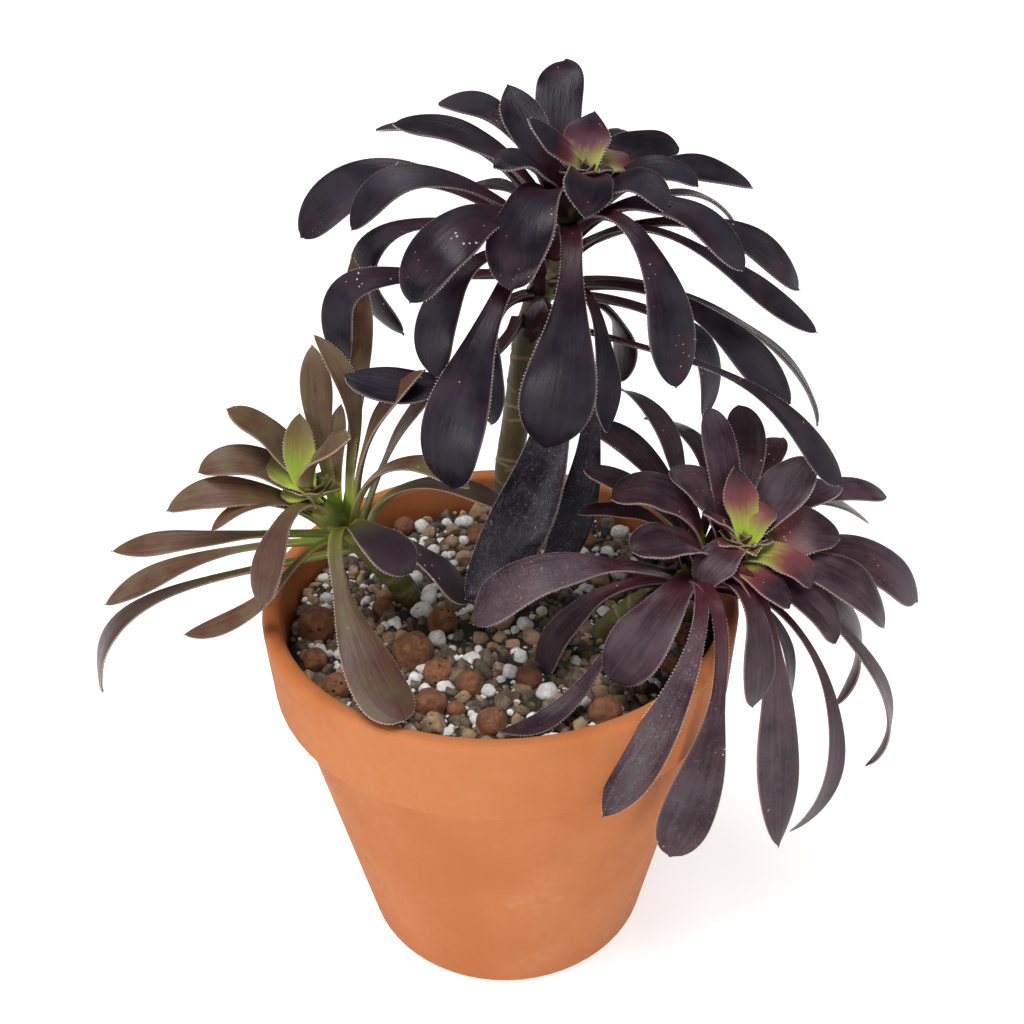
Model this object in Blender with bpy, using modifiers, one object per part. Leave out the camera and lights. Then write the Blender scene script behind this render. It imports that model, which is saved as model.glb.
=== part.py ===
"""Potted aeonium: three branching stems, each with a leaf rosette, in a terracotta pot.

Units are metres, +Z up, -Y is the front and +X is the right-hand side.
Everything is laid out about the pot's axis, in millimetres, and scaled by MM. The origin is
where that axis meets the ground, which is also mid-way under the plant.
"""
import math
from collections import namedtuple

import bmesh
import bpy
from mathutils import Vector

MM = 0.001
GAP = 0.3                    # clearance between neighbouring pieces

# Pot
POT_HEIGHT = 139.0
RIM_RADIUS = 80.0
BAND_FOOT_RADIUS = 78.8
BAND_HEIGHT = 30.0
BAND_FOOT = POT_HEIGHT - BAND_HEIGHT
BAND_EDGE_ROUND = 1.4
BAND_FILLET = 1.6
BODY_TOP_RADIUS = 73.8
BASE_RADIUS = 53.6
RIM_INNER_RADIUS = 74.0
WALL = 6.6
FLOOR_THICKNESS = 8.0
FLOOR_CHAMFER = 4.0
THROAT_LOW = BAND_FOOT - 3.0     # the inner wall widens into the rim between these heights
THROAT_HIGH = BAND_FOOT + 5.0
RIM_DRAFT = 1.6                  # how much narrower the rim's bore is at its foot
DRAIN_RADIUS = 6.0
LIP_ROUND = 2.6
BASE_ROUND = 3.0
POT_STEPS = 64
MEDIUM_STEPS = 32

# Growing medium
SOIL_TOP = 112.0
GRIT_TOP = 125.0
GRIT_CROWN = 1.0             # how much higher the grit stands in the middle
GRIT_EDGE = 1.5
BALL_LIFT = 0.3              # a clay ball's centre above the grit, as a share of its radius

# Stems
STEM_SIDES = 12
STEM_FOOT = 106.0            # the stems are set this high above the ground

# Leaves
LEAF_STATIONS = 10
STALK_THICKNESS = 2.4
BLADE_THICKNESS = 1.6
TIP_THICKNESS = 0.6
WIDEST_AT = 0.74             # share of a leaf's length where its blade is widest
ROLL_DONE_AT = 0.6           # share of a leaf's length where its roll is complete
STALK_STANDOFF = 1.2         # from the stem's skin to the middle of a leaf's foot
SHOULDER_POWER = 1.15        # how late a leaf widens
TIP_POWER = 2.3              # how full its end is
LEAF_SECTION = [(-1.0, 0.0), (-0.5, -0.5), (0.5, -0.5), (1.0, 0.0), (0.5, 0.5), (-0.5, 0.5)]
CURVE_SAMPLES = 80
LEAF_COLOURS = {"top": (0.035, 0.025, 0.035), "left": (0.16, 0.11, 0.08),
                "right": (0.05, 0.03, 0.045)}

# A stem's route is a list of points, foot to crown; its radii are at the foot and the crown.
Stem = namedtuple("Stem", "route foot_radius crown_radius colour")

# start: how far below the crown the leaf leaves the stem
# turn: compass direction of the tip from the crown, in degrees from +X, anticlockwise from above
# reach, rise: the tip's distance out from the crown and height above it
# lift, hang: slope at the foot and at the tip, in degrees above level
# sway: how far the middle bows to the left, looking outwards; bow: handle length as a share
# width, stalk: blade and foot width; roll: turn of the blade about its own length, in degrees
Leaf = namedtuple("Leaf", "name start turn reach rise lift hang sway bow width stalk roll")

STEMS = {
    "top": Stem(
        [(1, 48, STEM_FOOT), (2, 47, 126), (3, 44, 154), (7, 37, 187), (11, 30, 219),
         (19, 25, 246), (27, 21, 266)], 5.5, 4.0, (0.24, 0.22, 0.10)),
    "left": Stem(
        [(-30, 13, STEM_FOOT), (-33, 11, 128), (-42, 6, 147), (-52, -1, 165), (-58, -5, 175)],
        4.8, 3.6, (0.27, 0.28, 0.10)),
    "right": Stem(
        [(31, -9, STEM_FOOT), (36, -10, 126), (48, -12, 140), (63, -14, 151), (76, -15, 159)],
        5.0, 3.8, (0.24, 0.26, 0.10)),
}

LEAVES = {
    "top": [
        Leaf("back_tall", 8, 96, 36, 31, 65, 30, 3, 0.40, 15, 4, 0),
        Leaf("back_point", 9, 135, 31, 27, 75, 40, 3, 0.40, 13, 3, -30),
        Leaf("upper_left", 12, 136, 61, 17, 60, -15, -1, 0.45, 11, 3, -25),
        Leaf("back_right", 11, 39, 41, 6, 55, -15, 3, 0.45, 14, 3, 35),
        Leaf("right", 15, 9, 53, -2, 50, -30, 3, 0.45, 11, 3, 20),
        Leaf("left_long", 19, -172, 69, -7, 45, -60, 0, 0.50, 11, 4, -35),
        Leaf("far_left", 22, 171, 89, -17, 40, -55, -3, 0.50, 14, 4, -60),
        Leaf("left_front_broad", 17, -146, 61, -20, 40, -70, -1, 0.50, 18, 4, -20),
        Leaf("front_left_broad", 9, -123, 40, -17, 70, -78, -1, 0.62, 20, 4, 0),
        Leaf("front_centre_long", 21, -107, 44, -63, 65, -105, 7, 0.65, 21, 5, 0),
        Leaf("right_front_droop", 18, -54, 44, -47, 60, -95, -2, 0.70, 14, 4, 15),
        Leaf("right_outer", 20, 3, 69, -33, 35, -55, -7, 0.45, 11, 4, 40),
        Leaf("left_droop", 28, -152, 51, -48, 50, -100, 0, 0.60, 13, 4, -25),
        Leaf("left_hook", 27, 161, 61, -53, 40, -135, 8, 0.80, 13, 4, -65),
        Leaf("left_front_long", 36, -133, 60, -75, 65, -110, 5, 0.60, 19, 5, -10),
        Leaf("right_droop", 34, -9, 68, -66, 15, -50, -1, 0.45, 12, 4, 50),
        Leaf("right_arc", 38, 15, 89, -92, 15, -80, -3, 0.30, 9, 4, 10),
        Leaf("right_lowest", 44, -18, 86, -87, -5, -60, -13, 0.55, 9, 4, 35),
        Leaf("hanging", 50, -134, 55, -120, 80, -60, 21, 0.50, 20, 6, 0),
    ],
    "left": [
        Leaf("up_left", 7, 162, 26, 32, 60, 30, -6, 0.45, 12, 3, -20),
        Leaf("left_upper", 13, -173, 35, 15, 55, -20, 4, 0.45, 13, 3, -25),
        Leaf("left", 24, -167, 46, 5, 45, -30, 8, 0.45, 11, 3, -20),
        Leaf("tall_back", 13, 90, 24, 45, 95, 50, 2, 0.40, 10, 3, 0),
        Leaf("tall_right", 19, 68, 37, 70, 95, 95, -2, 0.50, 9, 3, 0),
        Leaf("right_up", 17, 15, 38, 42, 85, 35, 0, 0.40, 9, 3, 0),
        Leaf("right_arch", 24, 4, 63, -9, 85, -50, 1, 0.50, 9, 3, 10),
        Leaf("front_right", 11, -35, 38, -12, 40, -55, -3, 0.45, 16, 3, 0),
        Leaf("front_down", 20, -65, 73, -33, 65, -10, -10, 0.45, 17, 4, 0),
        Leaf("front_left", 12, -118, 32, -19, 60, -75, 3, 0.70, 12, 3, 0),
        Leaf("left_low", 29, 174, 79, -44, 0, -35, 0, 0.40, 10, 3, -20),
        Leaf("left_lowest", 35, -174, 80, -69, 0, -85, 7, 0.50, 10, 3, -20),
    ],
    "right": [
        Leaf("back_up", 8, 110, 26, 41, 90, 35, -3, 0.30, 11, 3, 0),
        Leaf("back_dark", 17, 83, 46, 31, 50, 30, -9, 0.40, 13, 3, 0),
        Leaf("upright_right", 8, 37, 30, 26, 40, 40, -3, 0.40, 16, 3, 10),
        Leaf("far_right_back", 16, 33, 70, -2, 35, -30, 2, 0.40, 10, 3, 25),
        Leaf("right_dark", 17, 9, 66, -27, 20, -55, 1, 0.45, 17, 4, 35),
        Leaf("right_low", 11, -17, 48, -19, 30, -65, 2, 0.45, 15, 3, 25),
        Leaf("left_broad", 9, -159, 38, 12, 60, -15, 0, 0.45, 17, 3, -10),
        Leaf("left_upper", 11, 174, 41, 20, 80, -25, -3, 0.50, 15, 3, -20),
        Leaf("left_behind", 18, 146, 61, 32, 60, 10, -9, 0.40, 11, 3, -10),
        Leaf("left_front_long", 20, -164, 87, -7, 35, -60, 4, 0.45, 16, 4, -15),
        Leaf("front_left_broad", 11, -141, 55, -21, 45, -65, 5, 0.45, 19, 4, 0),
        Leaf("front_drop_left", 17, -126, 81, -50, 25, -65, 15, 0.60, 13, 4, 0),
        Leaf("front_drop", 25, -116, 51, -86, 25, -90, 12, 0.65, 18, 4, 0),
        Leaf("front_drop_right", 20, -51, 31, -107, 60, -85, -2, 0.55, 17, 4, 35),
        Leaf("far_right_arc", 26, 0, 54, -92, 20, -120, -6, 0.45, 9, 4, 20),
    ],
}

# The youngest leaves of each crown, which have not yet parted from the growing tip.
YOUNG_LEAVES = {
    "top": [
        Leaf("left", 2, -173, 16, 23, 70, 60, 0, 0.40, 10, 3, -35),
        Leaf("back", 0, 67, 10, 22, 85, 70, 1, 0.40, 14, 3, 0),
        Leaf("right", 2, 21, 16, 8, 60, 10, 1, 0.45, 12, 3, 20),
        Leaf("front", 4, -92, 21, -1, 45, -62, 1, 0.50, 15, 3, 18),
    ],
    "left": [
        Leaf("back", 2, 112, 9, 29, 100, 60, 2, 0.40, 10, 3, 0),
        Leaf("left", 3, 173, 16, 15, 80, 15, 0, 0.40, 11, 3, -20),
        Leaf("front", 2, -43, 21, 32, 90, 35, -2, 0.40, 9, 3, 0),
    ],
    "right": [
        Leaf("back", 2, 81, 12, 24, 95, 60, -1, 0.40, 11, 3, 0),
        Leaf("right", 1, 14, 12, 12, 80, 10, -1, 0.40, 11, 3, 10),
        Leaf("left", 2, -171, 13, 18, 80, 45, -2, 0.40, 8, 3, 0),
        Leaf("front", 3, -124, 24, 4, 70, -40, 0, 0.50, 12, 3, 0),
    ],
}
BUD_RADIUS = 4.2
BUD_HEIGHT = 7.0

# Fired clay balls: x, y, radius
CLAY_BALLS = [(-62, -6, 7.2), (-29, -21, 7.0), (-22, -46, 5.3), (-3, -55, 5.0), (32, -52, 5.5)]


def move_to_collection(obj, collection):
    for owner in list(obj.users_collection):
        owner.objects.unlink(obj)
    collection.objects.link(obj)


def material(name, colour, roughness, metallic=0.0):
    mat = bpy.data.materials.new(name)
    mat.use_nodes = True
    shader = mat.node_tree.nodes["Principled BSDF"]
    shader.inputs["Base Color"].default_value = (*colour, 1.0)
    shader.inputs["Roughness"].default_value = roughness
    shader.inputs["Metallic"].default_value = metallic
    return mat


def mesh_object(name, bm, collection, mat, scale=MM):
    """Turn a bmesh made in millimetres into an object of the collection."""
    bmesh.ops.scale(bm, vec=(scale, scale, scale), verts=bm.verts)
    mesh = bpy.data.meshes.new(name)
    bm.to_mesh(mesh)
    bm.free()
    obj = bpy.data.objects.new(name, mesh)
    collection.objects.link(obj)
    if mat:
        mesh.materials.append(mat)
    mesh.shade_smooth()
    mesh.set_sharp_from_angle(angle=math.radians(35))
    return obj


def as_guide(obj):
    obj.hide_render = True
    obj.display_type = "WIRE"


def boolean(obj, other, operation):
    mod = obj.modifiers.new(f"{operation.title()} {other.name}", "BOOLEAN")
    mod.operation = operation
    mod.object = other
    mod.solver = "EXACT"


# ---------------------------------------------------------------- turned pieces

def arc(centre, radius, start, end, steps):
    """Points along an arc of the profile plane, angles in degrees."""
    points = []
    for i in range(steps + 1):
        angle = math.radians(start + (end - start) * i / steps)
        x = centre[0] + radius * math.cos(angle)
        z = centre[1] + radius * math.sin(angle)
        points.append((x, z))
    return points


def turned(name, profile, steps, closed, collection, mat):
    """Turn a profile of (radius, height) points about the Z axis with a Screw modifier."""
    bm = bmesh.new()
    verts = [bm.verts.new((x, 0.0, z)) for x, z in profile]
    for a, b in zip(verts, verts[1:]):
        bm.edges.new((a, b))
    if closed:
        bm.edges.new((verts[-1], verts[0]))
    obj = mesh_object(name, bm, collection, mat)
    screw = obj.modifiers.new("Turn", "SCREW")
    screw.steps = steps
    screw.render_steps = steps
    screw.use_merge_vertices = True
    screw.merge_threshold = 0.00001
    screw.use_smooth_shade = True
    return obj


def pot_inner_radius(height):
    """Radius of the pot's inner wall below the rim band."""
    slope = (BODY_TOP_RADIUS - BASE_RADIUS) / BAND_FOOT
    return BASE_RADIUS + slope * height - WALL


def build_pot(collection):
    lip = (RIM_RADIUS - LIP_ROUND, POT_HEIGHT - LIP_ROUND)
    edge = (BAND_FOOT_RADIUS - BAND_EDGE_ROUND, BAND_FOOT + BAND_EDGE_ROUND)
    fillet = (BODY_TOP_RADIUS + BAND_FILLET, BAND_FOOT - BAND_FILLET)
    inner_lip = (RIM_INNER_RADIUS + LIP_ROUND, POT_HEIGHT - LIP_ROUND)
    chamfer_top = FLOOR_THICKNESS + FLOOR_CHAMFER
    outside = arc(lip, LIP_ROUND, 90, 0, 4)
    outside += arc(edge, BAND_EDGE_ROUND, 0, -90, 3)
    outside += arc(fillet, BAND_FILLET, 90, 180, 2)
    outside += arc((BASE_RADIUS - BASE_ROUND, BASE_ROUND), BASE_ROUND, 0, -90, 4)
    inside = [(DRAIN_RADIUS, 0.0), (DRAIN_RADIUS, FLOOR_THICKNESS)]
    inside += [(pot_inner_radius(FLOOR_THICKNESS) - FLOOR_CHAMFER, FLOOR_THICKNESS)]
    inside += [(pot_inner_radius(chamfer_top), chamfer_top)]
    inside += [(pot_inner_radius(THROAT_LOW), THROAT_LOW)]
    inside += [(RIM_INNER_RADIUS - RIM_DRAFT, THROAT_HIGH)]
    inside += arc(inner_lip, LIP_ROUND, 180, 90, 4)
    clay = material("terracotta", (0.60, 0.21, 0.08), 0.75)
    return turned("pot", outside + inside, POT_STEPS, True, collection, clay)


def medium_radius(height):
    """Radius that clears the pot's inside by the gap, at a height in the soil or grit."""
    if height <= THROAT_LOW:
        return pot_inner_radius(height) - GAP
    share = min(1.0, (height - THROAT_LOW) / (THROAT_HIGH - THROAT_LOW))
    low = pot_inner_radius(THROAT_LOW)
    high = RIM_INNER_RADIUS - RIM_DRAFT
    return low + (high - low) * share - GAP


def build_soil(collection):
    foot = FLOOR_THICKNESS + GAP
    chamfer_top = foot + FLOOR_CHAMFER
    profile = [(0.0, SOIL_TOP), (medium_radius(SOIL_TOP), SOIL_TOP)]
    profile += [(medium_radius(THROAT_LOW), THROAT_LOW)]
    profile += [(medium_radius(chamfer_top), chamfer_top)]
    profile += [(medium_radius(foot) - FLOOR_CHAMFER - GAP, foot), (0.0, foot)]
    dark = material("soil", (0.05, 0.035, 0.025), 0.95)
    return turned("soil_mix", profile, MEDIUM_STEPS, False, collection, dark)


def build_grit(collection):
    foot = SOIL_TOP + GAP
    edge = medium_radius(THROAT_HIGH)
    profile = [(0.0, GRIT_TOP + GRIT_CROWN), (edge * 0.6, GRIT_TOP + GRIT_CROWN / 2)]
    profile += [(edge - GRIT_EDGE, GRIT_TOP), (edge, GRIT_TOP - GRIT_EDGE), (edge, THROAT_HIGH)]
    profile += [(medium_radius(foot), foot), (0.0, foot)]
    stone = material("grit", (0.35, 0.31, 0.27), 0.9)
    return turned("grit_layer", profile, MEDIUM_STEPS, False, collection, stone)


# ---------------------------------------------------------------- stems

def smooth_route(points, steps=8):
    """Points along a Catmull-Rom curve through a list of points."""
    knots = [Vector(p) for p in points]
    knots = [2 * knots[0] - knots[1]] + knots + [2 * knots[-1] - knots[-2]]
    route = []
    for i in range(1, len(knots) - 2):
        a, b, c, d = knots[i - 1:i + 3]
        for step in range(steps):
            t = step / steps
            point = 2 * b + (c - a) * t + (2 * a - 5 * b + 4 * c - d) * t ** 2
            point += (3 * b - a - 3 * c + d) * t ** 3
            route.append(point / 2)
    route.append(knots[-2])
    return route


def along_stem(stem, below_crown):
    """The point on a stem's centre line at a distance below its crown, and the stem's direction."""
    route = smooth_route(stem.route)[::-1]
    left = below_crown
    for a, b in zip(route, route[1:]):
        span = (b - a).length
        if span >= left:
            return a.lerp(b, left / span), (a - b).normalized()
        left -= span
    return route[-1], (route[-2] - route[-1]).normalized()


def stem_mesh(name, stem, extra, collection, mat):
    """A tapered stem as a mesh: a bevelled curve whose loose caps are welded."""
    route = smooth_route(stem.route, 4)
    curve = bpy.data.curves.new(name, "CURVE")
    curve.dimensions = "3D"
    curve.bevel_depth = MM
    curve.bevel_resolution = STEM_SIDES // 4 - 1
    curve.use_fill_caps = True
    spline = curve.splines.new("POLY")
    spline.points.add(len(route) - 1)
    for i, point in enumerate(route):
        share = i / (len(route) - 1)
        radius = stem.foot_radius + (stem.crown_radius - stem.foot_radius) * share
        spline.points[i].co = (*(point * MM), 1.0)
        spline.points[i].radius = radius + extra
    source = bpy.data.objects.new(name + "_route", curve)
    collection.objects.link(source)
    graph = bpy.context.evaluated_depsgraph_get()
    mesh = bpy.data.meshes.new_from_object(source.evaluated_get(graph))
    bpy.data.objects.remove(source)
    bm = bmesh.new()
    bm.from_mesh(mesh)
    bpy.data.meshes.remove(mesh)
    bmesh.ops.remove_doubles(bm, verts=bm.verts, dist=0.00001)
    bmesh.ops.recalc_face_normals(bm, faces=bm.faces)
    return mesh_object(name, bm, collection, mat, scale=1.0)


def deeper(stem):
    """The same stem reaching a gap lower, to cut its socket with clearance under its foot."""
    x, y, z = stem.route[0]
    return stem._replace(route=[(x, y, z - GAP)] + stem.route[1:])


# ---------------------------------------------------------------- leaves

def leaf_tip(stem, leaf):
    turn = math.radians(leaf.turn)
    offset = (leaf.reach * math.cos(turn), leaf.reach * math.sin(turn), leaf.rise)
    return Vector(stem.route[-1]) + Vector(offset)


def leaf_foot(stem, leaf):
    """Where a leaf meets its stem: just clear of the skin, on the side that faces the tip."""
    centre, axis = along_stem(stem, leaf.start)
    out = (leaf_tip(stem, leaf) - centre).to_2d().to_3d().normalized()
    away = (out - axis * out.dot(axis)).normalized()
    return centre + away * (stem.foot_radius + STALK_STANDOFF)


def leaf_spine(start, tip, leaf):
    """Evenly spaced points down a leaf's middle and the level direction across it."""
    up = Vector((0.0, 0.0, 1.0))
    out = (tip - start).to_2d().to_3d().normalized()
    side = Vector((-out.y, out.x, 0.0))
    handle = (tip - start).length * leaf.bow
    lift = math.radians(leaf.lift)
    hang = math.radians(leaf.hang)
    bend = side * leaf.sway * 4 / 3
    first = start + (out * math.cos(lift) + up * math.sin(lift)) * handle + bend
    last = tip - (out * math.cos(hang) + up * math.sin(hang)) * handle + bend
    fine = []
    for i in range(CURVE_SAMPLES + 1):
        t = i / CURVE_SAMPLES
        s = 1 - t
        fine.append(start * s ** 3 + first * 3 * s * s * t + last * 3 * s * t * t + tip * t ** 3)
    return even_steps(fine, LEAF_STATIONS), side


def even_steps(points, count):
    """Resample a polyline to evenly spaced points."""
    lengths = [0.0]
    for a, b in zip(points, points[1:]):
        lengths.append(lengths[-1] + (b - a).length)
    result = []
    k = 0
    for i in range(count + 1):
        goal = lengths[-1] * i / count
        while k < len(points) - 2 and lengths[k + 1] < goal:
            k += 1
        share = (goal - lengths[k]) / (lengths[k + 1] - lengths[k])
        result.append(points[k].lerp(points[k + 1], min(1.0, share)))
    return result


def width_share(s, foot_share):
    """Half width of a spoon-shaped leaf as a share of its widest, at a share of its length."""
    if s < WIDEST_AT:
        x = s / WIDEST_AT
        return foot_share + (1 - foot_share) * (x * x * (3 - 2 * x)) ** SHOULDER_POWER
    y = (s - WIDEST_AT) / (1 - WIDEST_AT)
    return math.sqrt(max(0.0, 1 - y ** TIP_POWER))


def leaf_bmesh(start, tip, leaf):
    """A closed leaf: six-sided lens sections lofted along the spine to a pointed tip."""
    spine, side = leaf_spine(start, tip, leaf)
    count = len(spine) - 1
    bm = bmesh.new()
    rings = []
    for i in range(count):
        s = i / count
        forward = (spine[i + 1] - spine[max(0, i - 1)]).normalized()
        across = (side - forward * side.dot(forward)).normalized()
        normal = forward.cross(across)
        roll = math.radians(leaf.roll) * min(1.0, s / ROLL_DONE_AT)
        across, normal = (across * math.cos(roll) + normal * math.sin(roll),
                          normal * math.cos(roll) - across * math.sin(roll))
        half = leaf.width / 2 * width_share(s, leaf.stalk / leaf.width)
        thick = STALK_THICKNESS + (BLADE_THICKNESS - STALK_THICKNESS) * min(1.0, s / WIDEST_AT)
        if s > WIDEST_AT:
            fall = (s - WIDEST_AT) / (1 - WIDEST_AT)
            thick = BLADE_THICKNESS + (TIP_THICKNESS - BLADE_THICKNESS) * fall
        middle = spine[i]
        ring = [bm.verts.new(middle + across * x * half + normal * y * thick)
                for x, y in LEAF_SECTION]
        rings.append(ring)
    tip = bm.verts.new(spine[-1])
    bm.faces.new(rings[0])
    for ring, following in zip(rings, rings[1:]):
        for k in range(6):
            m = (k + 1) % 6
            bm.faces.new((ring[k], ring[m], following[m], following[k]))
    for k in range(6):
        bm.faces.new((rings[-1][k], rings[-1][(k + 1) % 6], tip))
    bmesh.ops.recalc_face_normals(bm, faces=bm.faces)
    return bm


def build_leaves(rosette, stem, collection):
    for leaf in LEAVES[rosette]:
        name = f"leaf_{rosette}_{leaf.name}"
        mat = material(name, LEAF_COLOURS[rosette], 0.4)
        bm = leaf_bmesh(leaf_foot(stem, leaf), leaf_tip(stem, leaf), leaf)
        mesh_object(name, bm, collection, mat)


def build_heart(rosette, stem, collection, cutters):
    """The growing tip: a bud joined with its youngest leaves."""
    bm = bmesh.new()
    bmesh.ops.create_uvsphere(bm, u_segments=12, v_segments=8, radius=1.0)
    bmesh.ops.scale(bm, vec=(BUD_RADIUS, BUD_RADIUS, BUD_HEIGHT), verts=bm.verts)
    crown, axis = along_stem(stem, 0.0)
    lean = Vector((0.0, 0.0, 1.0)).rotation_difference(axis)
    bmesh.ops.rotate(bm, cent=(0.0, 0.0, 0.0), matrix=lean.to_matrix(), verts=bm.verts)
    bud_centre = crown + axis * (BUD_HEIGHT + 2 * GAP)
    bmesh.ops.translate(bm, vec=bud_centre, verts=bm.verts)
    green = material(f"heart_{rosette}", (0.24, 0.36, 0.05), 0.45)
    heart = mesh_object(f"heart_{rosette}", bm, collection, green)
    for leaf in YOUNG_LEAVES[rosette]:
        bm = leaf_bmesh(bud_centre, leaf_tip(stem, leaf), leaf)
        cutter = mesh_object(f"young_{rosette}_{leaf.name}", bm, cutters, None)
        as_guide(cutter)
        boolean(heart, cutter, "UNION")


# ---------------------------------------------------------------- clay balls and assembly

def ball(name, x, y, radius, collection, mat):
    bm = bmesh.new()
    bmesh.ops.create_uvsphere(bm, u_segments=16, v_segments=10, radius=radius)
    bmesh.ops.translate(bm, vec=(x, y, GRIT_TOP + radius * BALL_LIFT), verts=bm.verts)
    return mesh_object(name, bm, collection, mat)


def parent_all(collections):
    """Hang everything from one empty on the pot's axis, where the pot meets the ground."""
    root = bpy.data.objects.new("pot_axis", None)
    collections[0].objects.link(root)
    for collection in collections:
        for obj in collection.objects:
            if obj is not root:
                obj.parent = root


def main():
    for obj in list(bpy.data.objects):
        bpy.data.objects.remove(obj)
    plant = bpy.data.collections.new("potted_aeonium")
    cutters = bpy.data.collections.new("cutters")
    bpy.context.scene.collection.children.link(plant)
    bpy.context.scene.collection.children.link(cutters)
    build_pot(plant)
    soil = build_soil(plant)
    grit = build_grit(plant)
    for rosette, stem in STEMS.items():
        bark = material(f"stem_{rosette}", stem.colour, 0.7)
        stem_mesh(f"stem_{rosette}", stem, 0.0, plant, bark)
        socket = stem_mesh(f"socket_{rosette}", deeper(stem), GAP, cutters, None)
        as_guide(socket)
        boolean(soil, socket, "DIFFERENCE")
        boolean(grit, socket, "DIFFERENCE")
        build_leaves(rosette, stem, plant)
        build_heart(rosette, stem, plant, cutters)
    fired = material("clay_ball", (0.26, 0.12, 0.07), 0.9)
    for i, (x, y, radius) in enumerate(CLAY_BALLS):
        ball(f"clay_ball_{i + 1}", x, y, radius, plant, fired)
        hollow = ball(f"hollow_{i + 1}", x, y, radius + GAP, cutters, None)
        as_guide(hollow)
        boolean(grit, hollow, "DIFFERENCE")
    parent_all([plant, cutters])


main()
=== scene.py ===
"""Looks of the potted aeonium: fine leaves, stems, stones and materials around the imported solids.

Lengths are in millimetres about the pot's axis, as in the part's source, and scaled by MM.
-Y is the front and +X the right-hand side.
"""
import math
from collections import namedtuple

import bmesh
import bpy
import numpy as np
from mathutils import Matrix, Vector, noise


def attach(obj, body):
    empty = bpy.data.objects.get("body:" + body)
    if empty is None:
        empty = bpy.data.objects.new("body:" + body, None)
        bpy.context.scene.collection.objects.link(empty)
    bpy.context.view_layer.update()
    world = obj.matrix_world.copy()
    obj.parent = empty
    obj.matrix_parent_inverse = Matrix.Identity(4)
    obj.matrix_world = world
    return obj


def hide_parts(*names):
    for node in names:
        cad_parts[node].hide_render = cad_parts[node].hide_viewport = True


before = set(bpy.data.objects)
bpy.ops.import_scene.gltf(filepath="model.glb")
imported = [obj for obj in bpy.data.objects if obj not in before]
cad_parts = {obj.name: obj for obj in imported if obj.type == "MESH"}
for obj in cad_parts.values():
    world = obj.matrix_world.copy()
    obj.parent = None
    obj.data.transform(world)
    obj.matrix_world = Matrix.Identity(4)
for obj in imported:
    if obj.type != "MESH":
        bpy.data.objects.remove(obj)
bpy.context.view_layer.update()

MM = 0.001
UP = np.array((0.0, 0.0, 1.0))

# ---------------------------------------------------------------- the plant's layout

Stem = namedtuple("Stem", "route foot_radius crown_radius")

# start: how far below the crown the leaf leaves the stem
# turn: compass direction of the tip from the crown, in degrees from +X, anticlockwise from above
# reach, rise: the tip's distance out from the crown and height above it
# lift, hang: slope at the foot and at the tip, in degrees above level
# sway: how far the middle bows to the left, looking outwards; bow: handle length as a share
# width: the blade's width; roll: turn of the blade about its own length, in degrees
# form: from 0, a spoon on a long stalk, to 1, a young leaf with a broad foot
# cup: how far the margins rise, as a share of the half width; point: 0 round tip to 1 sharp
# green: share of the length that is still green; spots: how many water marks, from 0 to 1
# dark: how far a bronze leaf has turned purple, from 0 to 1
Leaf = namedtuple(
    "Leaf", "name start turn reach rise lift hang sway bow width roll form cup point green spots dark",
    defaults=(0, 0.25, 0.12, 0.3, 0.0, 0.0, 0.0))

STEM_FOOT = 106.0

STEMS = {
    "top": Stem(
        [(1, 48, STEM_FOOT), (2, 47, 126), (3, 44, 154), (7, 37, 187), (11, 30, 219),
         (19, 25, 246), (27, 21, 266)], 5.5, 4.0),
    "left": Stem(
        [(-30, 13, STEM_FOOT), (-33, 11, 128), (-42, 6, 147), (-52, -1, 165), (-58, -5, 175)],
        4.8, 3.6),
    "right": Stem(
        [(31, -9, STEM_FOOT), (36, -10, 126), (48, -12, 140), (63, -14, 151), (76, -15, 159)],
        5.0, 3.8),
}

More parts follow.
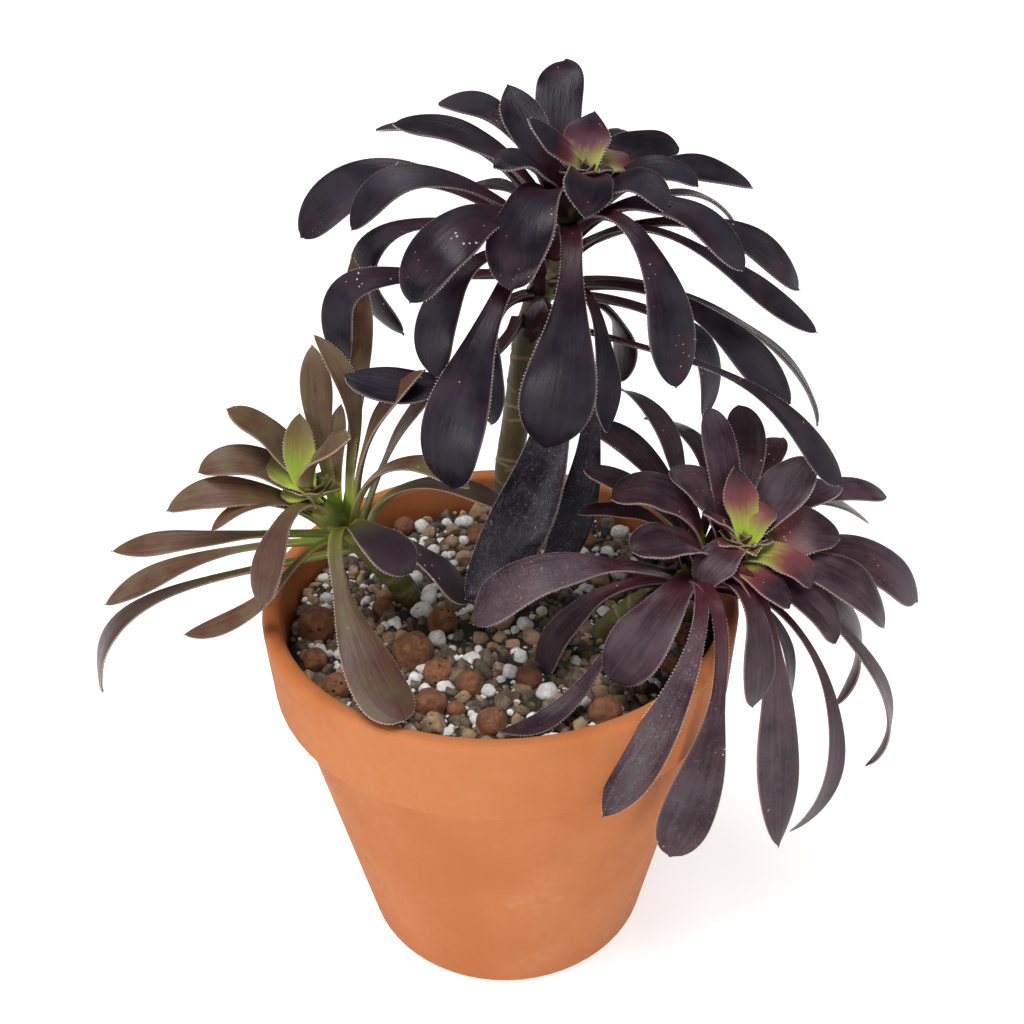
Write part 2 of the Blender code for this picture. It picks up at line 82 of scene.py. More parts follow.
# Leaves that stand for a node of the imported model
LEAVES = {
    "top": [
        Leaf("back_tall", 8, 96, 36, 31, 65, 30, 3, 0.40, 15, 0, 0.5, 0.05, 0.0),
        Leaf("back_point", 9, 135, 31, 27, 75, 40, 3, 0.40, 13, -30, 0.6, 0.25, 0.9),
        Leaf("upper_left", 12, 136, 61, 17, 60, -15, -1, 0.45, 11, -25, 0.2, 0.10, 0.2),
        Leaf("back_right", 11, 39, 41, 6, 55, -15, 3, 0.45, 14, 35, 0.6, 0.10, 0.0),
        Leaf("right", 15, 9, 53, -2, 50, -30, 3, 0.45, 11, 20),
        Leaf("left_long", 18, -172, 69, -7, 45, -60, 0, 0.50, 11, -35, 0.0),
        Leaf("far_left", 21, 171, 89, -17, 40, -55, -1, 0.50, 14, -60, 0.0, -0.10, 0.0),
        Leaf("left_front_broad", 16, -146, 61, -20, 40, -70, 2, 0.50, 18, -20, 0.3, -0.08, 0.0),
        Leaf("front_left_broad", 9, -123, 40, -17, 70, -78, -1, 0.62, 20, 0, 0.5, -0.10, 0.1),
        Leaf("front_centre_long", 21, -107, 44, -63, 65, -105, 7, 0.65, 21, 0, -0.1, -0.15, 0.2),
        Leaf("right_front_droop", 18, -54, 44, -47, 60, -95, -2, 0.70, 14, 15, 0.0, -0.10, 0.2),
        Leaf("right_outer", 20, 3, 69, -33, 35, -55, -7, 0.45, 11, 40, -0.1),
        Leaf("left_droop", 28, -152, 51, -48, 50, -100, 0, 0.60, 13, -25, 0.0, -0.10),
        Leaf("left_hook", 27, 161, 61, -53, 40, -135, 8, 0.80, 13, -65, -0.1, -0.10, 0.1),
        Leaf("left_front_long", 35, -133, 60, -75, 90, -120, 5, 0.60, 19, -10, -0.1, -0.12, 0.1),
        Leaf("right_droop", 34, -9, 68, -66, 15, -50, -1, 0.45, 12, 50, -0.1, -0.10),
        Leaf("right_arc", 33, 15, 89, -92, 15, -80, -3, 0.30, 9, 10, 0.0, 0.25),
        Leaf("right_lowest", 44, -18, 86, -87, -5, -60, -13, 0.55, 9, 35, -0.4, -0.10, 0.2),
        Leaf("hanging", 50, -134, 55, -120, 80, -60, 21, 0.50, 20, 0, 0.2, -0.12, 0.3, 0.0, 0.9),
    ],
    "left": [
        Leaf("up_left", 8, 168, 26, 32, 70, 25, 1, 0.45, 12, -20, 0.5, 0.15, 0.3, 0.35),
        Leaf("left_upper", 13, -173, 35, 15, 65, -25, 0, 0.45, 13, -25, 0.5, 0.15, 0.3, 0.3),
        Leaf("left", 18, -167, 46, 5, 55, -30, 4, 0.45, 11, -20, 0.4, 0.15, 0.3, 0.3),
        Leaf("tall_back", 13, 90, 24, 45, 95, 50, 2, 0.40, 10, 0, 0.2, 0.15, 0.6, 0.25),
        Leaf("tall_right", 19, 68, 37, 70, 95, 95, -2, 0.50, 9, 0, 0.1, 0.25, 0.5, 0.2),
        Leaf("right_up", 17, 15, 38, 42, 85, 35, 0, 0.40, 9, 0, 0.0, 0.25, 0.4, 0.25),
        Leaf("right_arch", 24, 4, 63, -9, 85, -50, 1, 0.50, 9, 10, 0.2, 0.10, 0.4, 0.25, 0.0, 0.5),
        Leaf("front_right", 14, -35, 38, -12, 40, -55, -3, 0.45, 16, 0, 0.3, -0.05, 0.3, 0.15, 0.0, 1.0),
        Leaf("front_down", 20, -65, 73, -33, 65, -10, -10, 0.45, 17, 0, -0.2, -0.05, 0.0, 0.2, 0.0, 0.25),
        Leaf("front_left", 11, -118, 32, -19, 75, -70, -2, 0.70, 12, 0, 0.1, 0.0, 0.3, 0.2, 0.0, 0.3),
        Leaf("left_low", 22, 174, 79, -44, 0, -35, 0, 0.40, 10, -20, -0.1, 0.05, 0.4, 0.25),
        Leaf("left_lowest", 26, -174, 80, -69, 0, -85, 7, 0.50, 10, -20, -0.2, 0.05, 0.6, 0.2, 0.0, 0.7),
    ],
    "right": [
        Leaf("back_up", 8, 110, 26, 41, 90, 35, -3, 0.30, 11, 0, 0.4, 0.15, 0.3, 0.15),
        Leaf("back_dark", 15, 83, 46, 31, 70, 25, -9, 0.40, 13, 0, 0.3, 0.10, 0.1),
        Leaf("upright_right", 7, 37, 30, 26, 60, 25, -5, 0.40, 16, 10, 0.5, 0.15, 0.2, 0.15),
        Leaf("far_right_back", 16, 33, 70, -2, 35, -30, 2, 0.40, 10, 25, 0.0, 0.05, 0.2),
        Leaf("right_dark", 17, 9, 66, -27, 20, -55, 1, 0.45, 17, 35, 0.1, 0.0, 0.1),
        Leaf("right_low", 11, -17, 48, -19, 30, -65, 2, 0.45, 15, 25, 0.3, 0.05, 0.3, 0.1),
        Leaf("left_broad", 9, -159, 38, 12, 60, -15, 0, 0.45, 17, -10, 0.5, 0.05, 0.1, 0.12),
        Leaf("left_upper", 11, 174, 41, 20, 80, -25, -3, 0.50, 15, -20, 0.5, 0.10, 0.2, 0.2),
        Leaf("left_behind", 18, 146, 61, 32, 60, 10, -9, 0.40, 11, -10, 0.3, 0.05, 0.6),
        Leaf("left_front_long", 20, -164, 87, -7, 35, -60, 4, 0.45, 16, -15, 0.1, 0.0, 0.2, 0.0, 0.7),
        Leaf("front_left_broad", 14, -141, 55, -21, 30, -60, 5, 0.45, 20, 0, 0.3, 0.0, 0.1, 0.1),
        Leaf("front_drop_left", 15, -127, 77, -51, 30, -65, 15, 0.60, 13, -10, 0.0, 0.0, 0.5, 0.0, 0.5),
        Leaf("front_drop", 22, -116, 51, -86, 50, -85, 12, 0.60, 18, 0, -0.3, 0.0, 0.1, 0.0, 0.2),
        Leaf("front_drop_right", 20, -51, 31, -107, 60, -85, -2, 0.55, 16, 35, 0.25, 0.0, 0.6, 0.0, 0.1),
        Leaf("far_right_arc", 24, 0, 54, -92, 50, -125, -3, 0.40, 9, 20, 0.0, 0.15, 0.4, 0.0, 0.3),
    ],
}

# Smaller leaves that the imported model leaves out
SMALL_LEAVES = {
    "top": [
        Leaf("upper_left_low", 14, 164, 59, 17, 65, -5, -1, 0.40, 11, -25),
        Leaf("upper_left_back", 15, 152, 72, 11, 50, -15, 0, 0.45, 9, -10),
        Leaf("right_inner", 8, -14, 34, 4, 60, -35, 1, 0.45, 10, 25, 0.5, 0.2, 0.3, 0.15),
        Leaf("right_front_long", 14, -28, 51, -16, 50, -60, -4, 0.50, 11, 25),
        Leaf("right_long_low", 24, -11, 73, -40, 50, -35, -6, 0.50, 9, 30, -0.2),
        Leaf("far_left_droop", 30, 180, 75, -55, 0, -100, 3, 0.65, 11, -60, 0.0),
        Leaf("left_curl", 46, -169, 75, -51, -45, 30, 9, 0.30, 14, -30, 0.0),
        Leaf("front_narrow", 30, -72, 23, -69, 25, -90, 0, 0.55, 10, 0, 0.0, 0.2, 0.9),
        Leaf("behind_stem", 38, 59, 28, -74, -5, -110, -1, 0.45, 13, 0, 0.0),
        Leaf("right_back_droop", 36, 28, 51, -88, -15, -110, 2, 0.45, 12, 60, -0.1),
        Leaf("hanging_behind", 52, -124, 24, -128, 75, -80, 18, 0.35, 13, 0, 0.1, 0.1, 0.3, 0.0, 0.6),
        Leaf("short_left", 6, -159, 28, 11, 55, -25, 1, 0.45, 12, -15, 0.7, 0.15, 0.2, 0.1),
        Leaf("front_right_small", 6, -42, 30, 0, 55, -55, 2, 0.50, 11, 20, 0.8, 0.2, 0.6, 0.2),
        Leaf("dark_between", 37, -165, 30, -73, 15, -85, 0, 0.50, 12, -10, 0.1),
        Leaf("back_right_small", 12, 70, 41, 9, 60, 0, -3, 0.40, 9),
        Leaf("behind_left", 16, 141, 48, -8, 45, -30, -1, 0.40, 9),
        Leaf("right_thin", 12, 5, 48, -13, 35, -60, -2, 0.45, 7),
    ],
    "left": [
        Leaf("tall_back_thin", 16, 84, 18, 51, 60, 30, -8, 0.40, 7, 0, 0.1, 0.2, 0.5, 0.25),
        Leaf("right_up_low", 20, 24, 44, 33, 70, 35, 0, 0.35, 8, 0, 0.0, 0.15, 0.4, 0.25),
        Leaf("right_arch_high", 16, -9, 50, 10, 85, -35, 1, 0.50, 9, 10, 0.1, 0.15, 0.4, 0.25),
        Leaf("right_dark", 20, -12, 49, -32, 25, -60, -3, 0.45, 13, 0, 0.1, 0.0, 0.4, 0.1, 0.0, 1.0),
        Leaf("front_left_low", 20, -158, 48, -37, 45, -10, 13, 0.50, 8, -10, 0.0, 0.1, 0.4, 0.25),
        Leaf("left_level", 16, -173, 66, -11, 15, -10, 4, 0.40, 9, -20, 0.0, 0.1, 0.5, 0.25),
        Leaf("left_thin", 12, -152, 34, 1, 60, -45, 1, 0.45, 6, -10, 0.2, 0.1, 0.5, 0.2),
        Leaf("behind", 14, 61, 18, 28, 100, 45, 0, 0.35, 6, 0, 0.3, 0.2, 0.5, 0.3),
    ],
    "right": [
        Leaf("back_dark_right", 15, 64, 49, 19, 60, 0, -2, 0.40, 11, 10),
        Leaf("right_behind", 12, 36, 48, 9, 40, -10, -2, 0.40, 11, 10),
        Leaf("far_right_small", 20, 39, 73, -18, 30, -45, 2, 0.45, 8, 10, 0.2),
        Leaf("right_level", 4, 3, 33, 5, 50, -25, 1, 0.40, 17, 30, 0.9, 0.1, 0.3, 0.45),
        Leaf("right_low_inner", 3, -33, 25, -3, 50, -50, 3, 0.45, 12, 15, 0.9, 0.15, 0.4, 0.55),
        Leaf("front_inner", 4, -57, 24, -6, 35, -45, -1, 0.40, 12, 0, 0.9, 0.15, 0.4, 0.40),
        Leaf("front_folded", 10, -35, 35, -20, 20, -65, 2, 0.45, 13, 15, 0.4, 0.3, 0.4, 0.1),
        Leaf("left_upper_inner", 6, 151, 25, 25, 85, 10, -2, 0.45, 12, -20, 0.7, 0.2, 0.3, 0.15),
        Leaf("black_twisted", 20, 128, 56, 38, 45, 0, -8, 0.35, 9, 20),
        Leaf("black_back", 22, 116, 58, 23, 65, -20, -15, 0.40, 9, 20),
        Leaf("left_dark_tip", 14, 162, 51, 24, 70, 10, -1, 0.40, 10, -10),
        Leaf("left_band", 18, 167, 52, 10, 70, -10, -5, 0.45, 7, -10),
        Leaf("left_front_low", 22, -168, 65, -40, 15, -80, -1, 0.45, 12, -10),
        Leaf("curling_front", 26, -147, 92, -27, 35, 30, 6, 0.50, 8, 0, -0.1, 0.2, 0.6, 0.0, 0.3),
        Leaf("front_short", 14, -83, 28, -39, 40, -90, 2, 0.65, 12, 0),
        Leaf("front_right_arc", 24, -24, 29, -112, 40, -130, 1, 0.45, 8, 40, 0.0, 0.2),
        Leaf("middle_arc", 28, 5, 23, -67, 20, -95, 0, 0.50, 7, 30, 0.0, 0.2),
        Leaf("red_underside", 24, 21, 49, -79, 5, -115, -1, 0.50, 12, 30, 0.5),
    ],
}

# The youngest leaves, which spring from the growing tip
YOUNG_LEAVES = {
    "top": [
        Leaf("left", 2, -173, 16, 23, 70, 60, 0, 0.40, 10, -35, 0.8, 0.25, 0.9, 0.35),
        Leaf("back", 0, 67, 10, 22, 85, 70, 1, 0.40, 14, 0, 0.9, 0.15, 0.9, 0.5),
        Leaf("inner", 0, 147, 5, 11, 95, 70, 0, 0.40, 7, 0, 1.0, 0.3, 1.0, 0.5),
        Leaf("right", 2, 21, 16, 8, 60, 10, 1, 0.45, 12, 20, 1.0, 0.2, 0.4, 0.75),
        Leaf("front", 4, -92, 21, -1, 45, -62, 1, 0.50, 15, -22, 0.9, 0.05, 1.0, 0.15),
    ],
    "left": [
        Leaf("back", 2, 112, 9, 29, 100, 60, 2, 0.40, 10, 0, 0.8, 0.3, 0.8, 0.60),
        Leaf("left", 3, 173, 16, 15, 80, 15, 0, 0.40, 12, -25, 1.0, 0.2, 0.3, 0.75),
        Leaf("left_inner", 2, -160, 11, 6, 75, 10, 0, 0.40, 8, -20, 1.0, 0.2, 0.6, 0.9),
        Leaf("front", 2, -43, 21, 32, 90, 35, -2, 0.40, 13, 20, 0.6, 0.2, 0.5, 0.25),
    ],
    "right": [
        Leaf("back", 1, 96, 12, 27, 95, 60, 0, 0.40, 11, 0, 0.8, 0.25, 0.9, 0.55),
        Leaf("right", 1, 25, 12, 15, 85, 0, -1, 0.45, 10, 15, 1.0, 0.35, 0.3, 0.7),
        Leaf("left", 2, -171, 13, 18, 80, 45, -2, 0.40, 8, 0, 0.8, 0.3, 0.5, 0.45),
        Leaf("front", 4, -133, 20, -2, 50, -60, 0, 0.45, 13, -8, 0.9, 0.1, 0.3, 0.25),
        Leaf("inner_right", 1, -10, 11, 7, 75, 20, 0, 0.40, 8, 0, 1.0, 0.4, 0.9, 0.9),
        Leaf("inner_front", 1, -60, 9, 6, 80, 20, 0, 0.40, 8, 0, 1.0, 0.5, 0.8, 0.9),
        Leaf("inner_left", 1, 160, 6, 13, 85, 60, 0, 0.40, 6, 0, 1.0, 0.4, 0.8, 0.7),
    ],
}

# ---------------------------------------------------------------- helpers


def link(obj):
    bpy.context.scene.collection.objects.link(obj)
    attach(obj, "root")
    return obj


def smooth_mesh(name, points, faces, **marks):
    """A smooth-shaded mesh from points in millimetres, with a colour attribute for each mark."""
    mesh = bpy.data.meshes.new(name)
    mesh.from_pydata((np.asarray(points) * MM).tolist(), [], faces)
    for key, values in marks.items():
        layer = mesh.color_attributes.new(key, "FLOAT_COLOR", "POINT")
        layer.data.foreach_set("color", np.asarray(values, dtype=np.float32).ravel())
    mesh.shade_smooth()
    mesh.update()
    return mesh


def unit(vector):
    return vector / np.linalg.norm(vector)


def level(vector):
    return unit(np.array((vector[0], vector[1], 0.0)))


def smoothstep(value, low, high):
    share = np.clip((value - low) / (high - low), 0.0, 1.0)
    return share * share * (3 - 2 * share)


def evenly(points, count):
    """The same line as a number of evenly spaced points, and its length."""
    steps = np.linalg.norm(np.diff(points, axis=0), axis=1)
    lengths = np.concatenate([[0.0], np.cumsum(steps)])
    goals = np.linspace(0.0, lengths[-1], count)
    return np.stack([np.interp(goals, lengths, points[:, k]) for k in range(3)], axis=1), lengths[-1]


def directions(line):
    forward = np.gradient(line, axis=0)
    return forward / np.linalg.norm(forward, axis=1)[:, None]


def catmull_rom(points, steps=8):
    """Points along a smooth curve through a list of points."""
    knots = [np.array(p, float) for p in points]
    knots = [2 * knots[0] - knots[1]] + knots + [2 * knots[-1] - knots[-2]]
    route = []
    for i in range(1, len(knots) - 2):
        a, b, c, d = knots[i - 1:i + 3]
        for step in range(steps):
            t = step / steps
            point = 2 * b + (c - a) * t + (2 * a - 5 * b + 4 * c - d) * t ** 2
            point = point + (3 * b - a - 3 * c + d) * t ** 3
            route.append(point / 2)
    route.append(knots[-2])
    return np.array(route)


def along_stem(stem, below_crown):
    """The point on a stem's centre line at a distance below its crown, and the stem's direction."""
    route = catmull_rom(stem.route)[::-1]
    left = below_crown
    for a, b in zip(route, route[1:]):
        span = np.linalg.norm(b - a)
        if span >= left:
            return a + (b - a) * left / span, (a - b) / span
        left -= span
    return route[-1], unit(route[-2] - route[-1])


# ---------------------------------------------------------------- leaves

STATIONS = 46
ACROSS = 12                  # strips across each face of a leaf
# For a leaf of form 0 and form 1: the stalk's width as a share of the blade's, and the shares of
# the length where the stalk starts to widen and where the blade is widest
STALK_SHARE = (0.31, 0.60)
STALK_ENDS = (0.34, 0.0)
WIDEST_AT = (0.79, 0.60)
STALK_THICKNESS = 2.8
BLADE_THICKNESS = 2.0
EDGE_THICKNESS = 0.6
FOOT_DEPTH = 1.5             # how far a stalk's foot sinks into the stem
ROLLED_BY = 0.5              # share of the length where a leaf has all its roll
ROLL_SCATTER = 4             # degrees either way
CURVE_SAMPLES = 200
TIP_CROWDING = 1.3           # how much closer together the stations stand at the tip
FULL_SIZE_WIDTH = 11         # narrower leaves are thinner in proportion
SMALLEST = 0.1               # least half width; twice this is the least thickness
TIP_THINS_OVER = 0.10        # share of the length over which the tip thins out
LENS_POWER = 0.6             # how full a blade's cross section is
FOOT_FLARE = 0.3             # extra width at the foot as a share of the stalk's, and where it ends
FLARE_ENDS = 0.10
BEAK_WIDTH = 0.13            # the small point at a leaf's end, as shares of the blade's width
BEAK_LENGTH = 0.14           # and of the length beyond its widest place
CAP_ENDS = 0.96
CAP_POWERS = (2.4, 0.5)      # how round the end is for a point of 0, and how a point of 1 changes it
CAP_POINTED = (-0.7, 0.4)
BLADE_FROM = (0.2, 0.6)      # shares of the length over which the stalk turns into the blade
STALK_CHANNEL = 0.55         # how far a stalk's edges rise, as a share of its half width
# Each wave is its size and how fast it runs along the leaf
TILT_WAVE = (0.03, 8)
RIGHT_WAVE = (0.025, 19)
LEFT_WAVE = (0.025, 16)
OUTLINE_WAVE = (0.035, 13)
SIDEWAYS_WAVE = (0.03, 7)
CREASE_DEPTH = 0.22
CREASE_WIDTH = 0.18


def leaf_tip(stem, leaf):
    turn = math.radians(leaf.turn)
    offset = (leaf.reach * math.cos(turn), leaf.reach * math.sin(turn), leaf.rise)
    return np.array(stem.route[-1], float) + np.array(offset)


def leaf_foot(stem, leaf):
    centre, axis = along_stem(stem, leaf.start)
    out = level(leaf_tip(stem, leaf) - centre)
    away = unit(out - axis * out.dot(axis))
    return centre + away * (stem.foot_radius - FOOT_DEPTH)


def leaf_spine(start, tip, leaf):
    """Points down a leaf's middle, closer together at the tip, and the direction across it."""
    out = level(tip - start)
    side = np.array((-out[1], out[0], 0.0))
    handle = np.linalg.norm(tip - start) * leaf.bow
    lift = math.radians(leaf.lift)
    hang = math.radians(leaf.hang)
    bend = side * leaf.sway * 4 / 3
    first = start + (out * math.cos(lift) + UP * math.sin(lift)) * handle + bend
    last = tip - (out * math.cos(hang) + UP * math.sin(hang)) * handle + bend
    t = np.linspace(0.0, 1.0, CURVE_SAMPLES)[:, None]
    s = 1 - t
    line = start * s ** 3 + first * 3 * s * s * t + last * 3 * s * t * t + tip * t ** 3
    line, _ = evenly(line, CURVE_SAMPLES)
    share = 1 - (1 - np.linspace(0.0, 1.0, STATIONS + 1)) ** TIP_CROWDING
    places = np.linspace(0.0, 1.0, CURVE_SAMPLES)
    return np.stack([np.interp(share, places, line[:, k]) for k in range(3)], axis=1), share, side


def width_shares(s, form, point):
    """Half width of a spoon-shaped leaf as a share of its widest, at shares of its length."""
    stalk, ends, widest = (a + (b - a) * form for a, b in (STALK_SHARE, STALK_ENDS, WIDEST_AT))
    lower = stalk + (1 - stalk) * smoothstep(s, ends, widest)
    flare = FOOT_FLARE * stalk * (1 - smoothstep(s, 0.0, FLARE_ENDS))
    y = np.clip((s - widest) / (1 - widest), 0.0, 1.0)
    inner, outer = (a + b * point for a, b in zip(CAP_POWERS, CAP_POINTED))
    cap = np.clip(1 - (y / CAP_ENDS) ** inner, 0.0, 1.0) ** outer
    beak = BEAK_WIDTH * np.clip((1 - y) / BEAK_LENGTH, 0.0, 1.0)
    return np.where(s < widest, lower + flare, np.maximum(cap, beak))


def make_leaf(name, start, tip, leaf, rng):
    """A fleshy leaf: lens sections with a channelled stalk, lofted along its spine."""
    spine, s, side = leaf_spine(start, tip, leaf)
    forward = directions(spine)
    across = side - (forward @ side)[:, None] * forward
    across /= np.linalg.norm(across, axis=1)[:, None]
    normal = np.cross(forward, across)
    scatter = rng.uniform(-ROLL_SCATTER, ROLL_SCATTER)
    roll = np.radians(leaf.roll + scatter) * smoothstep(s, 0.0, ROLLED_BY)
    cos, sin = np.cos(roll)[:, None], np.sin(roll)[:, None]
    across, normal = across * cos + normal * sin, normal * cos - across * sin
    half = np.maximum(leaf.width / 2 * width_shares(s, leaf.form, leaf.point), SMALLEST)
    young = min(1.0, leaf.width / FULL_SIZE_WIDTH)
    thick = BLADE_THICKNESS + (STALK_THICKNESS - BLADE_THICKNESS) * (1 - smoothstep(s, 0.0, 0.5))
    thinning = np.clip((1 - s) / TIP_THINS_OVER, 0.0, 1.0) ** 0.5
    thick = np.maximum(thick * young * thinning, 2 * SMALLEST)
    waves = rng.uniform(0, 2 * math.pi, 5)
    seed = rng.uniform(0, 1)
    x = np.cos(np.linspace(0.0, math.pi, ACROSS + 1))
    right_edge = np.clip(x, 0, 1) ** 2
    left_edge = np.clip(-x, 0, 1) ** 2
    lens = (1 - x * x) ** LENS_POWER
    rings = []
    marks = []
    rims = []
    for i in range(STATIONS + 1):
        blade = float(smoothstep(s[i], *BLADE_FROM))
        tilt, right, left, outline, sideways = (
            size * blade * math.sin(s[i] * rate + wave) for (size, rate), wave in
            zip((TILT_WAVE, RIGHT_WAVE, LEFT_WAVE, OUTLINE_WAVE, SIDEWAYS_WAVE), waves))
        rise = half[i] * (leaf.cup * blade + STALK_CHANNEL * (1 - blade)) * x * x
        rise = rise + leaf.width * (tilt * x + right * right_edge + left * left_edge)
        crease = -CREASE_DEPTH * blade * (1 - s[i]) * np.exp(-(x / CREASE_WIDTH) ** 2)
        edge = min(EDGE_THICKNESS * young, thick[i])
        body = 0.5 * (edge + (thick[i] - edge) * lens)
        out = np.outer(x * half[i] * (1 + outline) + half[i] * sideways, across[i])
        upper = spine[i] + out + np.outer(rise + crease + body, normal[i])
        lower = spine[i] + out + np.outer(rise - body, normal[i])
        rings.append(np.concatenate([upper, lower[::-1]]))
        for face, order in ((1.0, x), (0.0, x[::-1])):
            marks += [(s[i], (value + 1) / 2, face, seed) for value in order]
        rims.append(((upper[0] + lower[0]) / 2, (upper[-1] + lower[-1]) / 2))
    count = len(rings[0])
    points = np.concatenate(rings)
    faces = []
    for i in range(STATIONS):
        for k in range(count):
            m = (k + 1) % count
            a, b = i * count, (i + 1) * count
            faces.append((a + k, b + k, b + m, a + m))
    faces.append(tuple(range(count)))
    faces.append(tuple(reversed(range(STATIONS * count, (STATIONS + 1) * count))))
    nature = [(leaf.green, leaf.spots, leaf.dark, 1.0)] * len(points)
    obj = bpy.data.objects.new(name, smooth_mesh(name, points, faces, marks=marks, nature=nature))
    margins = [([rim[k] for rim in rims], across * way) for k, way in ((0, 1.0), (1, -1.0))]
    return obj, margins


TOOTH_SPACING = 1.0
TOOTH_LENGTH = (0.32, 0.52)
TOOTH_RADIUS = 0.19
TOOTH_CORNERS = (0.5, 2.6, 4.7)      # radians
TOOTH_DEPTH = 0.15           # how far a tooth's foot sinks into the margin
TOOTH_LEAN = (0.2, 0.7)      # towards the tip
TOOTH_SCATTER = (0.8, 1.25)
TEETH_FROM = 0.28            # share of the length where the teeth begin
TEETH_STOP = 0.3             # distance from the tip where they end


def make_teeth(name, margins, rng):
    """Fine pale teeth along the leaf margins, as small closed cones."""
    points = []
    faces = []
    for rim, across in margins:
        rim = np.array(rim)
        steps = np.linalg.norm(np.diff(rim, axis=0), axis=1)
        lengths = np.concatenate([[0.0], np.cumsum(steps)])
        at = lengths[-1] * TEETH_FROM
        while at < lengths[-1] - TEETH_STOP:
            k = min(len(rim) - 2, max(0, int(np.searchsorted(lengths, at)) - 1))
            share = (at - lengths[k]) / max(1e-6, lengths[k + 1] - lengths[k])
            foot = rim[k] + (rim[k + 1] - rim[k]) * share
            run = unit(rim[k + 1] - rim[k])
            out = unit(across[k] - run * across[k].dot(run) + run * rng.uniform(*TOOTH_LEAN))
            lean = unit(np.cross(out, run))
            size = rng.uniform(*TOOTH_LENGTH)
            base = len(points)
            for angle in TOOTH_CORNERS:
                ring = run * math.cos(angle) + lean * math.sin(angle)
                points.append(foot - out * TOOTH_DEPTH + ring * TOOTH_RADIUS)
            points.append(foot + out * size)
            faces += [(base, base + 1, base + 3), (base + 1, base + 2, base + 3),
                      (base + 2, base, base + 3), (base + 2, base + 1, base)]
            at += TOOTH_SPACING * rng.uniform(*TOOTH_SCATTER)
    mesh = smooth_mesh(name, points, faces)
    mesh.shade_flat()
    return bpy.data.objects.new(name, mesh)


# ---------------------------------------------------------------- materials


class Nodes:
    """Short calls for building a material's node tree."""

    def __init__(self, name):
        self.material = bpy.data.materials.new(name)
        self.material.use_nodes = True
        self.tree = self.material.node_tree
        self.shader = self.tree.nodes["Principled BSDF"]
        self.place = self.add("ShaderNodeTexCoord").outputs["Object"]

    def add(self, kind, inputs=None, **settings):
        node = self.tree.nodes.new(kind)
        for key, value in settings.items():
            setattr(node, key, value)
        for key, value in (inputs or {}).items():
            self.put(node.inputs[key], value)
        return node

    def put(self, socket, value):
        if isinstance(value, bpy.types.NodeSocket):
            self.tree.links.new(value, socket)
        elif socket.type == "RGBA" and len(value) == 3:
            socket.default_value = (*value, 1.0)
        else:
            socket.default_value = value

    def math(self, operation, a, b=0.0, clamp=False):
        node = self.add("ShaderNodeMath", {0: a, 1: b}, operation=operation, use_clamp=clamp)
        return node.outputs[0]

    def ramp(self, value, low, high, bottom=0.0, top=1.0):
        node = self.add("ShaderNodeMapRange", {"Value": value, "From Min": low, "From Max": high,
                                               "To Min": bottom, "To Max": top})
        node.interpolation_type = "SMOOTHSTEP"
        return node.outputs[0]

    def mix(self, share, a, b):
        node = self.add("ShaderNodeMix", data_type="RGBA")
        self.put(node.inputs[0], share)
        self.put(node.inputs[6], a)
        self.put(node.inputs[7], b)
        return node.outputs[2]

    def noise(self, scale, detail=3.0, rough=0.5, vector=None, distortion=0.0):
        node = self.add("ShaderNodeTexNoise", {"Vector": vector or self.place, "Scale": scale,
                                               "Detail": detail, "Roughness": rough,
                                               "Distortion": distortion})
        return node.outputs[0]

    def cells(self, scale, vector=None):
        return self.add("ShaderNodeTexVoronoi", {"Vector": vector or self.place, "Scale": scale})

    def stretched(self, x, y, z):
        return self.add("ShaderNodeMapping", {"Vector": self.place, "Scale": (x, y, z)}).outputs[0]

    def attribute(self, name):
        node = self.add("ShaderNodeAttribute", attribute_name=name)
        split = self.add("ShaderNodeSeparateColor", {"Color": node.outputs["Color"]})
        return (*split.outputs[:3], node.outputs["Alpha"])

    def bump(self, height, strength, distance):
        node = self.add("ShaderNodeBump", {"Height": height, "Strength": strength,
                                           "Distance": distance})
        return node.outputs[0]

    def finish(self, colour, roughness, normal=None, **sockets):
        self.put(self.shader.inputs["Base Color"], colour)
        self.put(self.shader.inputs["Roughness"], roughness)
        if normal is not None:
            self.put(self.shader.inputs["Normal"], normal)
        for key, value in sockets.items():
            self.shader.inputs[key.replace("_", " ")].default_value = value
        return self.material


# light: a paler tone for the blade's patches, partly the leaf's own mottling and partly a painted sheen
Tones = namedtuple("Tones", "blade light stalk flush young under margin")

LEAF_TONES = {
    "top": Tones((0.0050, 0.0030, 0.0065), (0.014, 0.0095, 0.017), (0.045, 0.006, 0.011),
                 (0.120, 0.030, 0.045), (0.340, 0.370, 0.090), (0.020, 0.006, 0.010),
                 (0.170, 0.120, 0.130)),
    "left": Tones((0.085, 0.032, 0.024), (0.118, 0.080, 0.040), (0.120, 0.115, 0.032),
                  (0.190, 0.160, 0.040), (0.330, 0.470, 0.045), (0.090, 0.050, 0.030),
                  (0.280, 0.170, 0.130)),
    "right": Tones((0.024, 0.011, 0.016), (0.062, 0.039, 0.047), (0.060, 0.006, 0.011),
                   (0.180, 0.040, 0.045), (0.300, 0.430, 0.030), (0.050, 0.006, 0.010),
                   (0.260, 0.170, 0.170)),
}
DARK_TONE = (0.030, 0.017, 0.022)    # a bronze leaf that has turned purple


